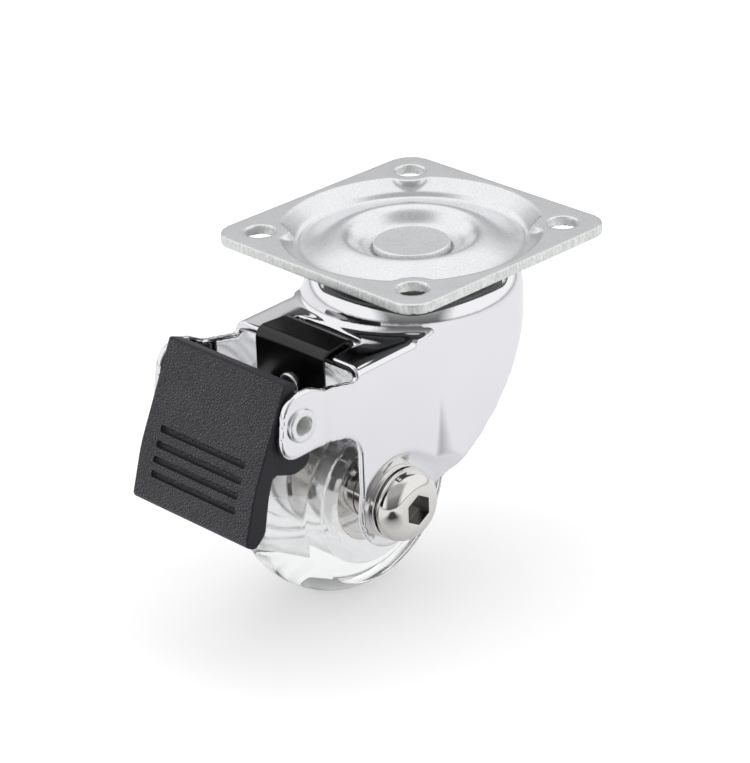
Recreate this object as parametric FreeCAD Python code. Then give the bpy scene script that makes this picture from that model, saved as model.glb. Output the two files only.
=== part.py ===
import FreeCAD, Part
import math
import os

# Braked swivel castor, in millimetres.
# Origin: centre of the top plate's mounting face, on the kingpin axis.
# +Z up, +X towards the brake pedal, +Y towards the screw head side.

# Top plate
plate_side = 60.0
plate_corner_r = 5.5
plate_t = 2.2
hole_pitch = 45.0
hole_r = 3.2
dish_r = 27.9
dish_slope_r = 24.6
dish_slope_z = -2.2
ledge_z = -2.8
ledge_outer_r = 23.9
ledge_inner_r = 22.8
crest_r = 15.0
crest_z = -1.0
floor_r = 9.9
floor_z = -4.6
boss_r = 5.9
boss_foot_r = 8.6

# Kingpin and its head
pin_r = 5.0
pin_head_r = 8.2
pin_head_top = -3.1
pin_rivet_r = 6.6
pin_rivet_t = 1.5
pin_fit = 0.02

# Swivel races
race_ball_r = 2.2
race_gap = 0.03
upper_ball_count = 20
lower_race_r = 9.6
lower_ball_count = 12
cup_t = 1.6
cup_r = 13.2

# Axle and wheel
axle_x = 23.8
wheel_top_z = -24.5
wheel_r = 25.0
wheel_half = 11.0
crown_r = 15.9
tyre_edge_r = 1.0
tyre_inner_r = 16.0
hub_rim_r = 12.8
web_inner_r = 13.4
web_outer_r = 15.0
web_edge_r = 15.4
web_sink = 1.6
bearing_outer_r = 11.0
bearing_bore_r = 4.0
bearing_w = 7.0
bearing_recess = 0.4
bearing_shoulder_r = 9.6
bearing_pitch_r = 7.6
bearing_ball_r = 2.0
bearing_ball_count = 7
ring_opening = 3.5
ring_edge_r = 0.3
shield_t = 0.3
shield_sink = 0.35
spacer_r = 5.6
axle_spacer_r = 6.0
axle_fit = 0.03
screw_r = 3.0
screw_end_y = 1.0
nut_bore_end_y = -2.0
screw_head_r = 8.0
screw_head_h = 4.4
screw_rim_h = 0.7
screw_flat_r = 4.2
hex_flats = 6.0
hex_depth = 3.0
collar_r = 6.7
collar_h = 0.8
washer_r = 8.2
washer_t = 1.2

# Fork
sheet = 1.8
dome_r = 23.4
dome_top = -6.2
dome_shoulder_r = 7.0
head_inner_top = -7.9
head_inner_r = 12.8
head_hole_r = 6.9
deck_z = -14.8
deck_rise = 0.036
deck_front = 34.7
arm_y = 18.4
arm_shoulder_r = 2.6
crease_r = 2.0
waist_r = 15.0
skirt_z = -17.5
skirt_back_x = -16.6
skirt_corner_r = 5.0
edge_end_back = 10.4
edge_end_drop = 0.5
edge_end_r = 2.5
boss_y = 17.3
boss_flat_r = 9.6
boss_edge_r = 5.0
boss_slope = 1.5
boss_depth = 8.0
boss_drop = 9.8
boss_back = 8.6
boss_back_r = 7.6
boss_front_r = 9.3
arm_front_x = 34.3
arm_top_z = -17.7
notch_z = -30.2
notch_r = 5.5
ear_y = 19.4
joggle_from = 43.0
joggle_to = 46.0
joggle_r = 3.0
ear_back = 4.7
ear_front = 6.3
ear_drop = 7.3
ear_rise = 6.8
ear_low_r = 4.2
ear_high_r = 5.0
ear_neck = 7.5
ear_hem = 0.9
ear_neck_rise = 4.9
ear_neck_r = 4.0
slot_back = 24.8
slot_front = 28.8
slot_half = 9.8
slot_corner_r = 1.2

# Brake
pivot_x = 51.7
pivot_z = -20.8
tube_r = 2.4
tube_bore_r = 1.9
tube_flange_r = 3.6
tube_flange_t = 0.9
tube_flange_edge_r = 0.5
tube_bore_edge_r = 0.35
run_fit = 0.05
pedal_half = 17.3
pedal_top_x = 53.6
pedal_top_z = -11.7
pedal_bend_x = 63.3
pedal_bend_z = -33.0
pedal_toe_x = 66.3
pedal_toe_z = -43.4
pedal_toe_r = 1.2
pedal_bend_r = 30.0
pedal_t = 3.4
pedal_edge_r = 0.45
heel_back = 2.7
heel_drop = 1.8
heel_r = 1.6
groove_half = 12.0
groove_pitch = 3.0
groove_count = 4
groove_first_z = -28.5
groove_r = 0.75
groove_sink = 0.1
hub_r = 4.4
lobe_inner_y = 12.0
lobe_half = 16.9
lobe_r = 12.2
lobe_back = 4.6
lobe_front = 4.6
lobe_corner_r = 3.0
lobe_edge_r = 0.9
cam_half = 8.0
cam_groove_half = 3.6
cam_nose_x = 37.7
cam_nose_top = -23.9
cam_nose_low = -28.0
cam_nose_r = 2.0
spring_t = 0.75
spring_half = 10.1
spring_back_half = 8.9
spring_face_x = 36.5
spring_top_z = -13.2
spring_fall = 0.3
spring_back_x = 26.4
spring_bend_r = 2.6
spring_hook_z = -18.2
spring_end_z = -26.0
rivet_z = -23.5
rivet_r = 2.7
rivet_head_t = 0.9
rivet_head_r = 0.6
rivet_pin_r = 1.5
rivet_bore_r = 0.9
rivet_end_x = 33.0
pad_gap = 0.6
pad_half = 6.0
pad_back_x = 32.6
pad_top_z = -21.0

# Length of the tools that cut right through
beyond = 90.0

axle_z = wheel_top_z - wheel_r
bearing_y = wheel_half - bearing_recess - bearing_w / 2
outer_ring_in_r = bearing_pitch_r + ring_opening / 2
inner_ring_out_r = bearing_pitch_r - ring_opening / 2
ball_ring_z = crest_z - plate_t - race_ball_r - race_gap
lower_ball_z = head_inner_top - sheet - race_ball_r - race_gap
cup_top = lower_ball_z - race_ball_r - race_gap
pin_end = cup_top - cup_t
arm_in = arm_y - sheet
ear_in = ear_y - sheet
boss_in = boss_y - sheet
head_face_y = boss_y + washer_t + collar_h

V = FreeCAD.Vector
UP = V(0, 0, 1)
ACROSS = V(0, 1, 0)


def in_plan(z):
    return lambda u, v: V(u, v, z)


def in_side(y):
    return lambda u, v: V(u, y, v)


def rounded_face(corners, place):
    """Face through corners (u, v, radius), each corner rounded to its radius."""
    starts = []
    middles = []
    ends = []
    count = len(corners)
    for index in range(count):
        u, v, radius = corners[index]
        here = V(u, v, 0)
        before = V(*corners[index - 1][:2], 0).sub(here).normalize()
        after = V(*corners[(index + 1) % count][:2], 0).sub(here).normalize()
        half = before.getAngle(after) / 2
        reach = radius / math.tan(half)
        inward = before.add(after).normalize()
        starts.append(here + before * reach)
        ends.append(here + after * reach)
        middles.append(here + inward * (radius / math.sin(half) - radius))
    edges = []
    for index in range(count):
        first = place(*starts[index][:2])
        middle = place(*middles[index][:2])
        last = place(*ends[index][:2])
        if corners[index][2] > 0:
            edges.append(Part.Arc(first, middle, last).toShape())
        following = place(*starts[(index + 1) % count][:2])
        if last.distanceToPoint(following) > 1e-6:
            edges.append(Part.makeLine(last, following))
    return Part.Face(Part.Wire(edges))


def prism(corners, place, along):
    return rounded_face(corners, place).extrude(along)


def box(low, high):
    size = V(*high).sub(V(*low))
    return Part.makeBox(size.x, size.y, size.z, V(*low))


def post(radius, low, high, x=0.0, y=0.0):
    return Part.makeCylinder(radius, high - low, V(x, y, low), UP)


def rod(radius, low, high, x=axle_x, z=axle_z):
    """Cylinder along Y from low to high."""
    return Part.makeCylinder(radius, high - low, V(x, low, z), ACROSS)


def turned(edges):
    """Solid of revolution about Z from edges in the XZ plane."""
    return Part.Face(Part.Wire(edges)).revolve(V(0, 0, 0), UP, 360)


def turned_outline(corners):
    return rounded_face(corners, in_side(0)).revolve(V(0, 0, 0), UP, 360)


def on_axle(corners):
    """Solid of revolution about the axle from corners (radius, y, rounding)."""
    shape = rounded_face(corners, in_side(0)).revolve(V(0, 0, 0), UP, 360)
    shape.rotate(V(0, 0, 0), V(1, 0, 0), -90)
    shape.translate(V(axle_x, 0, axle_z))
    return shape


def far_side(shape):
    return shape.mirror(V(0, 0, 0), ACROSS)


def joined(shapes):
    first = shapes[0]
    return first.fuse(shapes[1:]).removeSplitter()


def ball_ring(ring_r, z, radius, count):
    balls = []
    for index in range(count):
        turn = 2 * math.pi * index / count
        centre = V(ring_r * math.cos(turn), ring_r * math.sin(turn), z)
        balls.append(Part.makeSphere(radius, centre))
    return Part.makeCompound(balls)


def dish_height(r):
    """Height of the dish's smooth swell, between the ledge and the floor."""
    if r > crest_r:
        share = (r - crest_r) / (ledge_inner_r - crest_r)
        drop = crest_z - ledge_z
        return crest_z - drop * (1 - math.cos(math.pi * share)) / 2 - 0.25 * drop * share ** 2
    share = (crest_r - r) / (crest_r - floor_r)
    return crest_z - (crest_z - floor_z) * (1 - math.cos(math.pi * share)) / 2


def dish_curve(shift):
    steps = 18
    points = []
    for index in range(steps + 1):
        r = floor_r + (ledge_inner_r - floor_r) * index / steps
        points.append(V(r, 0, dish_height(r) + shift))
    curve = Part.BSplineCurve()
    curve.interpolate(points)
    return curve.toShape(), points[0], points[-1]


def dish_profile(shift):
    """Edges of the dish's surface, from the axis to its rim."""
    swell, inner, outer = dish_curve(shift)
    ledge = V(ledge_outer_r, 0, outer.z)
    step = V(dish_slope_r, 0, dish_slope_z + shift)
    rim = V(dish_r, 0, shift)
    axis = V(0, 0, inner.z)
    edges = [Part.makeLine(axis, inner), swell, Part.makeLine(outer, ledge)]
    edges.append(Part.makeLine(ledge, step))
    edges.append(Part.makeLine(step, rim))
    return edges, axis, rim


def top_plate():
    half = plate_side / 2
    corners = []
    for sx, sy in ((-1, -1), (1, -1), (1, 1), (-1, 1)):
        corners.append((sx * half, sy * half, plate_corner_r))
    slab = prism(corners, in_plan(-plate_t), V(0, 0, plate_t))
    rims = [e for e in slab.Edges if e.BoundBox.ZLength < 1e-6]
    slab = slab.makeFillet(0.45, rims)
    upper, axis, rim = dish_profile(0.0)
    above = V(rim.x, 0, 3.0)
    lid = V(0, 0, 3.0)
    hollow = turned(
        upper + [Part.makeLine(rim, above), Part.makeLine(above, lid), Part.makeLine(lid, axis)]
    )
    lower, low_axis, low_rim = dish_profile(-plate_t)
    sheet_edge = V(low_rim.x, 0, 0)
    pressed = turned(
        lower
        + [Part.makeLine(low_rim, sheet_edge), Part.makeLine(sheet_edge, V(0, 0, 0))]
        + [Part.makeLine(V(0, 0, 0), low_axis)]
    )
    for sx in (-1, 1):
        for sy in (-1, 1):
            boss = Part.makeCone(boss_foot_r, boss_r, 6.0, V(0, 0, -6.0), UP)
            boss.translate(V(sx * hole_pitch / 2, sy * hole_pitch / 2, 0))
            hollow = hollow.cut(boss)
    plate = slab.fuse(pressed).cut(hollow)
    for sx in (-1, 1):
        for sy in (-1, 1):
            x = sx * hole_pitch / 2
            y = sy * hole_pitch / 2
            plate = plate.cut(post(hole_r, -12, 2, x, y))
    race = Part.makeTorus(crest_r, race_ball_r + race_gap, V(0, 0, ball_ring_z), UP)
    return plate.cut([race, post(pin_r + pin_fit, -12, 2)])


def kingpin():
    corners = [
        (0, pin_head_top, 0),
        (pin_head_r, pin_head_top, 0.5),
        (pin_head_r, floor_z, 0),
        (pin_r, floor_z, 0),
        (pin_r, pin_end, 0),
        (pin_rivet_r, pin_end, 0.3),
        (pin_rivet_r, pin_end - pin_rivet_t, 0.7),
        (0, pin_end - pin_rivet_t, 0),
    ]
    return turned_outline(corners)


def lower_race_cup():
    lip = lower_ball_z + 0.4
    corners = [
        (pin_r + pin_fit, cup_top + 0.3, 0),
        (cup_r - cup_t, cup_top + 0.3, 0),
        (cup_r - cup_t, lip, 0),
        (cup_r, lip, 0.5),
        (cup_r, pin_end, 2.2),
        (pin_r + pin_fit, pin_end, 0),
    ]
    cup = turned_outline(corners)
    groove = Part.makeTorus(lower_race_r, race_ball_r + race_gap, V(0, 0, lower_ball_z), UP)
    return cup.cut(groove)


def waist(radius, half, blend):
    """Corner points of the concave blend between the round head and an arm."""
    reach = radius + blend - 0.03
    centre_y = half + blend
    centre_x = math.sqrt(reach ** 2 - centre_y ** 2)
    start = V(centre_x, half, 0)
    bearing = math.atan2(-centre_y, -centre_x) + 0.03
    end = V(centre_x + blend * math.cos(bearing), centre_y + blend * math.sin(bearing), 0)
    middle_turn = (bearing - math.pi / 2) / 2
    middle = V(
        centre_x + blend * math.cos(middle_turn), centre_y + blend * math.sin(middle_turn), 0
    )
    return start, middle, end


def arms_block(radius, half, blend, shoulder, top, front):
    """Solid block of the arms under a deck that rises a little towards the head."""
    start, middle, end = waist(radius, half, blend)
    low = V(0, 0, -beyond)
    edges = []
    for side in (1, -1):
        flip = lambda p: V(p.x, side * p.y, 0) + low
        edges.append(Part.Arc(flip(end), flip(middle), flip(start)).toShape())
        edges.append(Part.makeLine(flip(start), V(front, side * half, 0) + low))
    edges.append(Part.makeLine(V(front, half, 0) + low, V(front, -half, 0) + low))
    edges.append(Part.makeLine(V(end.x, end.y, 0) + low, V(end.x, -end.y, 0) + low))
    block = Part.Face(Part.Wire(Part.__sortEdges__(edges))).extrude(V(0, 0, 2 * beyond))
    top_at = lambda x: top + (deck_front - x) * deck_rise
    corners = [
        (-beyond, -2 * beyond, 0),
        (2 * beyond, -2 * beyond, 0),
        (2 * beyond, top_at(2 * beyond), 0),
        (-beyond, top_at(-beyond), 0),
    ]
    block = block.common(prism(corners, in_side(-beyond), V(0, 2 * beyond, 0)))
    shoulders = []
    for edge in block.Edges:
        bounds = edge.BoundBox
        on_top = bounds.ZMin > top_at(front) - 1e-3
        if on_top and abs(edge.CenterOfMass.y) > half - 1e-3:
            shoulders.append(edge)
    return block.makeFillet(shoulder, shoulders)


def head_block(radius, top, shoulder):
    block = post(radius, -beyond, top)
    crown = [e for e in block.Edges if e.BoundBox.ZMin > top - 1e-3]
    return block.makeFillet(shoulder, crown)


def crease_ring():
    """Hollow blend between the foot of the round head and the deck."""
    foot = deck_z + (deck_front - dome_r) * deck_rise
    corners = [
        (dome_r - sheet, foot - 2 * crease_r, 0),
        (dome_r + crease_r, foot - 2 * crease_r, 0),
        (dome_r + crease_r, foot + crease_r, 0),
        (dome_r - sheet, foot + crease_r, 0),
    ]
    ring = turned_outline(corners)
    ring = ring.cut(Part.makeTorus(dome_r + crease_r, crease_r, V(0, 0, foot + crease_r), UP))
    raised = deck_z + crease_r
    return ring.common(arms_block(dome_r, arm_y, waist_r, arm_shoulder_r, raised, beyond))


def side_outline():
    """Outline of an arm seen from the side, with its ear for the pedal."""
    boss_low_z = axle_z - boss_drop
    return [
        (-beyond, beyond, 0),
        (-beyond, skirt_z, 0),
        (skirt_back_x, skirt_z, skirt_corner_r),
        (axle_x - edge_end_back, axle_z - edge_end_drop, edge_end_r),
        (axle_x - boss_back, boss_low_z, boss_back_r),
        (arm_front_x, boss_low_z, boss_front_r),
        (arm_front_x, notch_z, notch_r),
        (pivot_x - ear_back, pivot_z - ear_rise, ear_high_r + ear_neck_r),
        (pivot_x + ear_front, pivot_z - ear_drop, ear_low_r),
        (pivot_x + ear_back - ear_hem, pivot_z + ear_rise, ear_high_r),
        (pivot_x - ear_back + ear_hem, pivot_z + ear_rise, ear_neck_r),
        (pivot_x - ear_neck, pivot_z + ear_neck_rise, ear_neck_r),
        (deck_front, arm_top_z, 0.0),
        (deck_front, beyond, 0),
    ]


def ear_wall():
    """One ear's sheet in plan, offset outwards by the joggle."""
    reach = pivot_x + ear_front + ear_high_r
    outer_r = joggle_r + sheet
    bend = sheet / 4
    corners = [
        (deck_front, arm_in, 0),
        (joggle_from, arm_in, joggle_r),
        (joggle_to, ear_in, outer_r),
        (reach, ear_in, 0),
        (reach, ear_y, 0),
        (joggle_to - bend, ear_y, joggle_r),
        (joggle_from - bend, arm_y, outer_r),
        (deck_front, arm_y, 0),
    ]
    return prism(corners, in_plan(notch_z - ear_drop), V(0, 0, ear_drop - notch_z + dome_top))


def boss_plug(flat_y, rounding):
    """Plug on the axle, flat at flat_y and widening outwards."""
    corners = [
        (0, flat_y, 0),
        (boss_flat_r, flat_y, rounding),
        (boss_flat_r + boss_depth * boss_slope, flat_y + boss_depth, 0),
        (0, flat_y + boss_depth, 0),
    ]
    return on_axle(corners)


def landings(block, flat_y, rounding):
    """Press a round landing for the axle into both sides of a block."""
    plug = boss_plug(flat_y, rounding)
    return block.cut([plug, far_side(plug)])


def fork():
    shell = arms_block(dome_r, arm_y, waist_r, arm_shoulder_r, deck_z, beyond)
    shell = shell.fuse([head_block(dome_r, dome_top, dome_shoulder_r), crease_ring()])
    shell = landings(shell, boss_y, boss_edge_r)
    room = arms_block(
        dome_r - sheet, arm_in, waist_r + sheet, arm_shoulder_r - sheet, deck_z - sheet, 2 * beyond
    )
    room = room.fuse(head_block(dome_r - sheet, dome_top - sheet, dome_shoulder_r - sheet))
    room = landings(room, boss_in, boss_edge_r + sheet)
    reach = box((-beyond, -beyond, 1 - beyond), (deck_front, beyond, beyond))
    shell = shell.cut(room).common(reach)
    ears = ear_wall()
    shell = shell.fuse([ears, far_side(ears)])
    outline = prism(side_outline(), in_side(-beyond), V(0, 2 * beyond, 0))
    shell = shell.common(outline)
    # pressed head: ball groove, lowered centre and hole for the kingpin
    under = Part.makeTorus(crest_r, race_ball_r + race_gap * 2 + sheet, V(0, 0, ball_ring_z), UP)
    under = under.common(post(dome_r - 1, -20, dome_top - 0.2))
    shell = shell.fuse([under, post(crest_r, head_inner_top - sheet, head_inner_top)])
    shell = shell.cut(post(head_inner_r, head_inner_top, 0))
    groove = Part.makeTorus(crest_r, race_ball_r + race_gap * 2, V(0, 0, ball_ring_z), UP)
    shell = shell.cut([groove, post(head_hole_r, -20, 0)])
    slot_low = V(slot_back, -slot_half, deck_z - 2 * sheet)
    slot = box(slot_low, (slot_front, slot_half, deck_z + sheet))
    posts = [e for e in slot.Edges if e.BoundBox.ZLength > sheet]
    shell = shell.cut(slot.makeFillet(slot_corner_r, posts))
    shell = shell.cut(rod(bearing_bore_r + axle_fit, -beyond, beyond))
    shell = shell.cut(rod(tube_r, -beyond, beyond, pivot_x, pivot_z))
    return shell.removeSplitter()


def axle_spacer():
    tube = rod(axle_spacer_r, bearing_y + bearing_w / 2, boss_in)
    return tube.cut(rod(bearing_bore_r + axle_fit, 0, beyond))


def bearing_spacer():
    half = bearing_y - bearing_w / 2
    return rod(spacer_r, -half, half).cut(rod(bearing_bore_r + axle_fit, -half, half))


def bearing_groove():
    place = V(axle_x, bearing_y, axle_z)
    return Part.makeTorus(bearing_pitch_r, bearing_ball_r + axle_fit, place, ACROSS)


def bearing_ring(inner, outer):
    low = bearing_y - bearing_w / 2
    high = bearing_y + bearing_w / 2
    corners = []
    for r, y in ((inner, low), (outer, low), (outer, high), (inner, high)):
        corners.append((r, y, ring_edge_r))
    return on_axle(corners).cut(bearing_groove())


def bearing_balls():
    balls = ball_ring(bearing_pitch_r, 0, bearing_ball_r, bearing_ball_count)
    balls.rotate(V(0, 0, 0), V(1, 0, 0), -90)
    balls.translate(V(axle_x, bearing_y, axle_z))
    return balls


def bearing_shields():
    discs = []
    for side in (-1, 1):
        face = bearing_y + side * (bearing_w / 2 - shield_sink)
        disc = rod(outer_ring_in_r, face - shield_t / 2, face + shield_t / 2)
        discs.append(disc.cut(rod(inner_ring_out_r + ring_edge_r, 0, beyond)))
    return Part.makeCompound(discs)


def wheel_tyre():
    edge_r = wheel_r - (crown_r - math.sqrt(crown_r ** 2 - wheel_half ** 2))
    crown = Part.Arc(V(edge_r, 0, -wheel_half), V(wheel_r, 0, 0), V(edge_r, 0, wheel_half))
    low = V(tyre_inner_r, 0, -wheel_half)
    high = V(tyre_inner_r, 0, wheel_half)
    edges = [crown.toShape(), Part.makeLine(V(edge_r, 0, wheel_half), high)]
    edges.append(Part.makeLine(high, low))
    edges.append(Part.makeLine(low, V(edge_r, 0, -wheel_half)))
    tyre = turned(edges)
    rims = []
    for edge in tyre.Edges:
        bounds = edge.BoundBox
        if bounds.ZLength < 1e-6 and abs(bounds.XMax - edge_r) < 0.1:
            rims.append(edge)
    tyre = tyre.makeFillet(tyre_edge_r, rims)
    tyre.rotate(V(0, 0, 0), V(1, 0, 0), -90)
    tyre.translate(V(axle_x, 0, axle_z))
    return tyre


def wheel_core():
    seat = bearing_y - bearing_w / 2
    corners = [
        (bearing_shoulder_r, -seat, 0),
        (bearing_outer_r, -seat, 0),
        (bearing_outer_r, -wheel_half, 0.4),
        (hub_rim_r, -wheel_half, 0.5),
        (web_inner_r, -wheel_half + web_sink, 0.5),
        (web_outer_r, -wheel_half + web_sink, 0.5),
        (web_edge_r, -wheel_half, 0),
        (tyre_inner_r, -wheel_half, 0),
    ]
    mirrored = [(r, -y, rounding) for r, y, rounding in reversed(corners)]
    return on_axle(corners + mirrored)


def hex_socket(face_y):
    across = hex_flats / math.sqrt(3)
    points = []
    for index in range(7):
        turn = math.radians(60 * index + 30)
        x = axle_x + across * math.cos(turn)
        z = axle_z + across * math.sin(turn)
        points.append(V(x, face_y - hex_depth, z))
    return Part.Face(Part.makePolygon(points)).extrude(V(0, hex_depth + 1, 0))


def button_head():
    """Domed head with its collar, on the +Y side of the arm."""
    low = head_face_y
    rim = low + screw_rim_h
    top = low + screw_head_h
    middle_r = screw_head_r * 0.845
    middle_y = rim + (top - rim) * 0.66
    collar = boss_y + washer_t
    points = [
        V(0, 0, collar),
        V(collar_r, 0, collar),
        V(collar_r, 0, low),
        V(screw_head_r, 0, low),
        V(screw_head_r, 0, rim),
    ]
    edges = [Part.makeLine(points[i], points[i + 1]) for i in range(len(points) - 1)]
    flat = V(screw_flat_r, 0, top)
    edges.append(Part.Arc(points[-1], V(middle_r, 0, middle_y), flat).toShape())
    edges.append(Part.makeLine(flat, V(0, 0, top)))
    edges.append(Part.makeLine(V(0, 0, top), points[0]))
    head = turned(edges)
    head.rotate(V(0, 0, 0), V(1, 0, 0), -90)
    head.translate(V(axle_x, 0, axle_z))
    return head.cut(hex_socket(top))


def axle_screw():
    return joined([button_head(), rod(screw_r, screw_end_y, boss_y + washer_t)])


def sleeve_nut():
    head = far_side(button_head())
    barrel = rod(bearing_bore_r, -boss_y - washer_t, boss_y)
    nut = joined([head, barrel])
    return nut.cut(rod(screw_r + axle_fit, nut_bore_end_y, beyond))


def axle_washer():
    ring = rod(washer_r, boss_y, boss_y + washer_t)
    ring = ring.cut(rod(bearing_bore_r + axle_fit, 0, beyond))
    rims = [e for e in ring.Edges if e.Length > 2 * math.pi * washer_r - 0.1]
    rims = [e for e in rims if e.BoundBox.YLength < 1e-6]
    return ring.makeFillet(0.3, rims)


def pivot_tube():
    """Flanged tube along the hinge, with rolled edges."""
    end_y = ear_y + tube_flange_t
    corners = [
        (tube_bore_r, 0, 0),
        (tube_r, 0, 0),
        (tube_r, ear_y, 0),
        (tube_flange_r, ear_y, 0),
        (tube_flange_r, end_y, tube_flange_edge_r),
        (tube_bore_r, end_y, tube_bore_edge_r),
    ]
    half = on_axle(corners)
    half.translate(V(pivot_x - axle_x, 0, pivot_z - axle_z))
    return joined([half, far_side(half)])


def pedal_plate():
    """Bent plate of the pedal from its side outline."""
    corners = [
        (pedal_top_x - pedal_t + 0.2, pedal_top_z - 1.2, 0.4),
        (pedal_top_x, pedal_top_z, 0.5),
        (pedal_bend_x, pedal_bend_z, pedal_bend_r),
        (pedal_toe_x, pedal_toe_z, pedal_toe_r),
        (pedal_toe_x - heel_back, pedal_toe_z - heel_drop, heel_r),
        (pedal_toe_x - 2.1 * heel_back, pedal_toe_z + heel_drop / 2, 3.0),
        (pedal_bend_x - 1.2 * pedal_t, pedal_bend_z - 1.3, pedal_bend_r),
    ]
    plate = prism(corners, in_side(-pedal_half), V(0, 2 * pedal_half, 0))
    rims = [e for e in plate.Edges if e.BoundBox.YLength < 1e-6]
    return plate.makeFillet(pedal_edge_r, rims)


def front_x(z):
    """The pedal's front face in X at height z."""
    if z > pedal_bend_z:
        slope = (pedal_bend_x - pedal_top_x) / (pedal_top_z - pedal_bend_z)
        return pedal_top_x + (pedal_top_z - z) * slope
    slope = (pedal_toe_x - pedal_bend_x) / (pedal_bend_z - pedal_toe_z)
    return pedal_bend_x + (pedal_bend_z - z) * slope


def grip_groove(index):
    z = groove_first_z - groove_pitch * index
    x = front_x(z) - groove_sink
    ends = [Part.makeSphere(groove_r, V(x, side * groove_half, z)) for side in (-1, 1)]
    return joined([rod(groove_r, -groove_half, groove_half, x, z)] + ends)


def pedal_lobes():
    """Pair of outer lobes round the pivot, joined to the plate's back."""
    corners = [
        (pivot_x - 0.7 * lobe_back, pivot_z + 0.8 * hub_r, 2.5),
        (pivot_x + 0.4 * lobe_back, pivot_z + 0.8 * hub_r, 0),
        (pivot_x + 2 * lobe_back, pivot_z - lobe_r, 0),
        (pivot_x + lobe_front, pivot_z - 0.87 * lobe_r, 0),
        (pivot_x, pivot_z - lobe_r, lobe_corner_r),
        (pivot_x - lobe_back, pivot_z - 0.93 * lobe_r, lobe_corner_r),
        (pivot_x - lobe_back, pivot_z - 0.9 * hub_r, lobe_corner_r),
    ]
    lobe = prism(corners, in_side(lobe_inner_y), V(0, lobe_half - lobe_inner_y, 0))
    outer = []
    for edge in lobe.Edges:
        bounds = edge.BoundBox
        if bounds.YMin > lobe_half - 1e-3 and bounds.XMax < pivot_x + 0.4 * lobe_back:
            outer.append(edge)
    lobe = lobe.makeFillet(lobe_edge_r, outer)
    return [lobe, far_side(lobe)]


def pedal_cam():
    """Forked lever on the hub whose two noses push on the brake spring."""
    corners = [
        (pivot_x - 1.0, pivot_z + 0.8 * hub_r, 0),
        (cam_nose_x, cam_nose_top, cam_nose_r),
        (cam_nose_x, cam_nose_low, cam_nose_r),
        (pivot_x - lobe_back, pivot_z - 0.85 * lobe_r, 2.0),
        (pivot_x + 1.5 * lobe_back, pivot_z - 0.85 * lobe_r, 0),
    ]
    cam = prism(corners, in_side(-cam_half), V(0, 2 * cam_half, 0))
    gap_low = V(cam_nose_x - 1, -cam_groove_half, -beyond)
    gap = box(gap_low, (pivot_x - hub_r - 2 * cam_nose_r, cam_groove_half, 0))
    return [cam.cut(gap)]


def brake_pedal():
    hub = rod(hub_r, -pedal_half, pedal_half, pivot_x, pivot_z)
    pedal = joined([pedal_plate(), hub] + pedal_lobes() + pedal_cam())
    for index in range(groove_count):
        pedal = pedal.cut(grip_groove(index))
    pedal = pedal.cut(rod(tube_r + run_fit, -beyond, beyond, pivot_x, pivot_z))
    return pedal.removeSplitter()


def along_x(radius, low, high):
    """Cylinder along X at the rivet's height."""
    return Part.makeCylinder(radius, high - low, V(low, 0, rivet_z), V(1, 0, 0))


def brake_spring():
    """Bent band: a hook in the deck's slot, a top and a face for the cam."""
    face = spring_face_x
    back = spring_back_x
    front_top = spring_top_z - spring_fall
    inner_r = spring_bend_r - spring_t
    corners = [
        (face, spring_end_z, 0),
        (face, front_top, spring_bend_r),
        (back, spring_top_z, spring_bend_r),
        (back, spring_hook_z, 0),
        (back + spring_t, spring_hook_z, 0),
        (back + spring_t, spring_top_z - spring_t, inner_r),
        (face - spring_t, front_top - spring_t, inner_r),
        (face - spring_t, spring_end_z, 0),
    ]
    band = prism(corners, in_side(-spring_half), V(0, 2 * spring_half, 0))
    plan = [
        (back - 1, -spring_back_half, 0),
        (face - spring_bend_r, -spring_half, 0),
        (face + 1, -spring_half, 0),
        (face + 1, spring_half, 0),
        (face - spring_bend_r, spring_half, 0),
        (back - 1, spring_back_half, 0),
    ]
    band = band.common(prism(plan, in_plan(spring_end_z), V(0, 0, -spring_end_z)))
    return band.cut(along_x(rivet_pin_r, face - 2 * spring_t, face + spring_t))


def brake_pad():
    back = spring_face_x - spring_t
    block = box((pad_back_x, -pad_half, spring_end_z - rivet_r), (back, pad_half, pad_top_z))
    block = block.cut(rod(wheel_r + pad_gap, -beyond, beyond))
    return block.cut(along_x(rivet_pin_r, rivet_end_x, beyond))


def pad_rivet():
    front = spring_face_x
    pin = along_x(rivet_pin_r, rivet_end_x, front)
    head = along_x(rivet_r, front, front + rivet_head_t)
    rims = [e for e in head.Edges if e.BoundBox.XMin > front + rivet_head_t - 1e-3]
    head = head.makeFillet(rivet_head_r, rims)
    return joined([pin, head]).cut(along_x(rivet_bore_r, front - rivet_head_t, beyond))


def write(node, shape):
    path = os.path.join("parts", node + ".step")
    shape.exportStep(path)


def main():
    os.makedirs("parts", exist_ok=True)
    write("top_plate", top_plate())
    write("kingpin", kingpin())
    write("lower_race_cup", lower_race_cup())
    write("upper_race_balls", ball_ring(crest_r, ball_ring_z, race_ball_r, upper_ball_count))
    lower_balls = ball_ring(lower_race_r, lower_ball_z, race_ball_r, lower_ball_count)
    write("lower_race_balls", lower_balls)
    write("fork", fork())
    write("axle_screw", axle_screw())
    write("sleeve_nut", sleeve_nut())
    write("bearing_spacer", bearing_spacer())
    write("wheel_tyre", wheel_tyre())
    write("wheel_core", wheel_core())
    both_sides = {
        "axle_washer": axle_washer(),
        "axle_spacer": axle_spacer(),
        "bearing_outer_ring": bearing_ring(outer_ring_in_r, bearing_outer_r),
        "bearing_inner_ring": bearing_ring(bearing_bore_r + axle_fit, inner_ring_out_r),
        "bearing_balls": bearing_balls(),
        "bearing_shields": bearing_shields(),
    }
    for node, shape in both_sides.items():
        write(node + "_near", shape)
        write(node + "_far", far_side(shape))
    write("pivot_tube", pivot_tube())
    write("brake_pedal", brake_pedal())
    write("brake_spring", brake_spring())
    write("brake_pad", brake_pad())
    write("pad_rivet", pad_rivet())


main()
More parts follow.
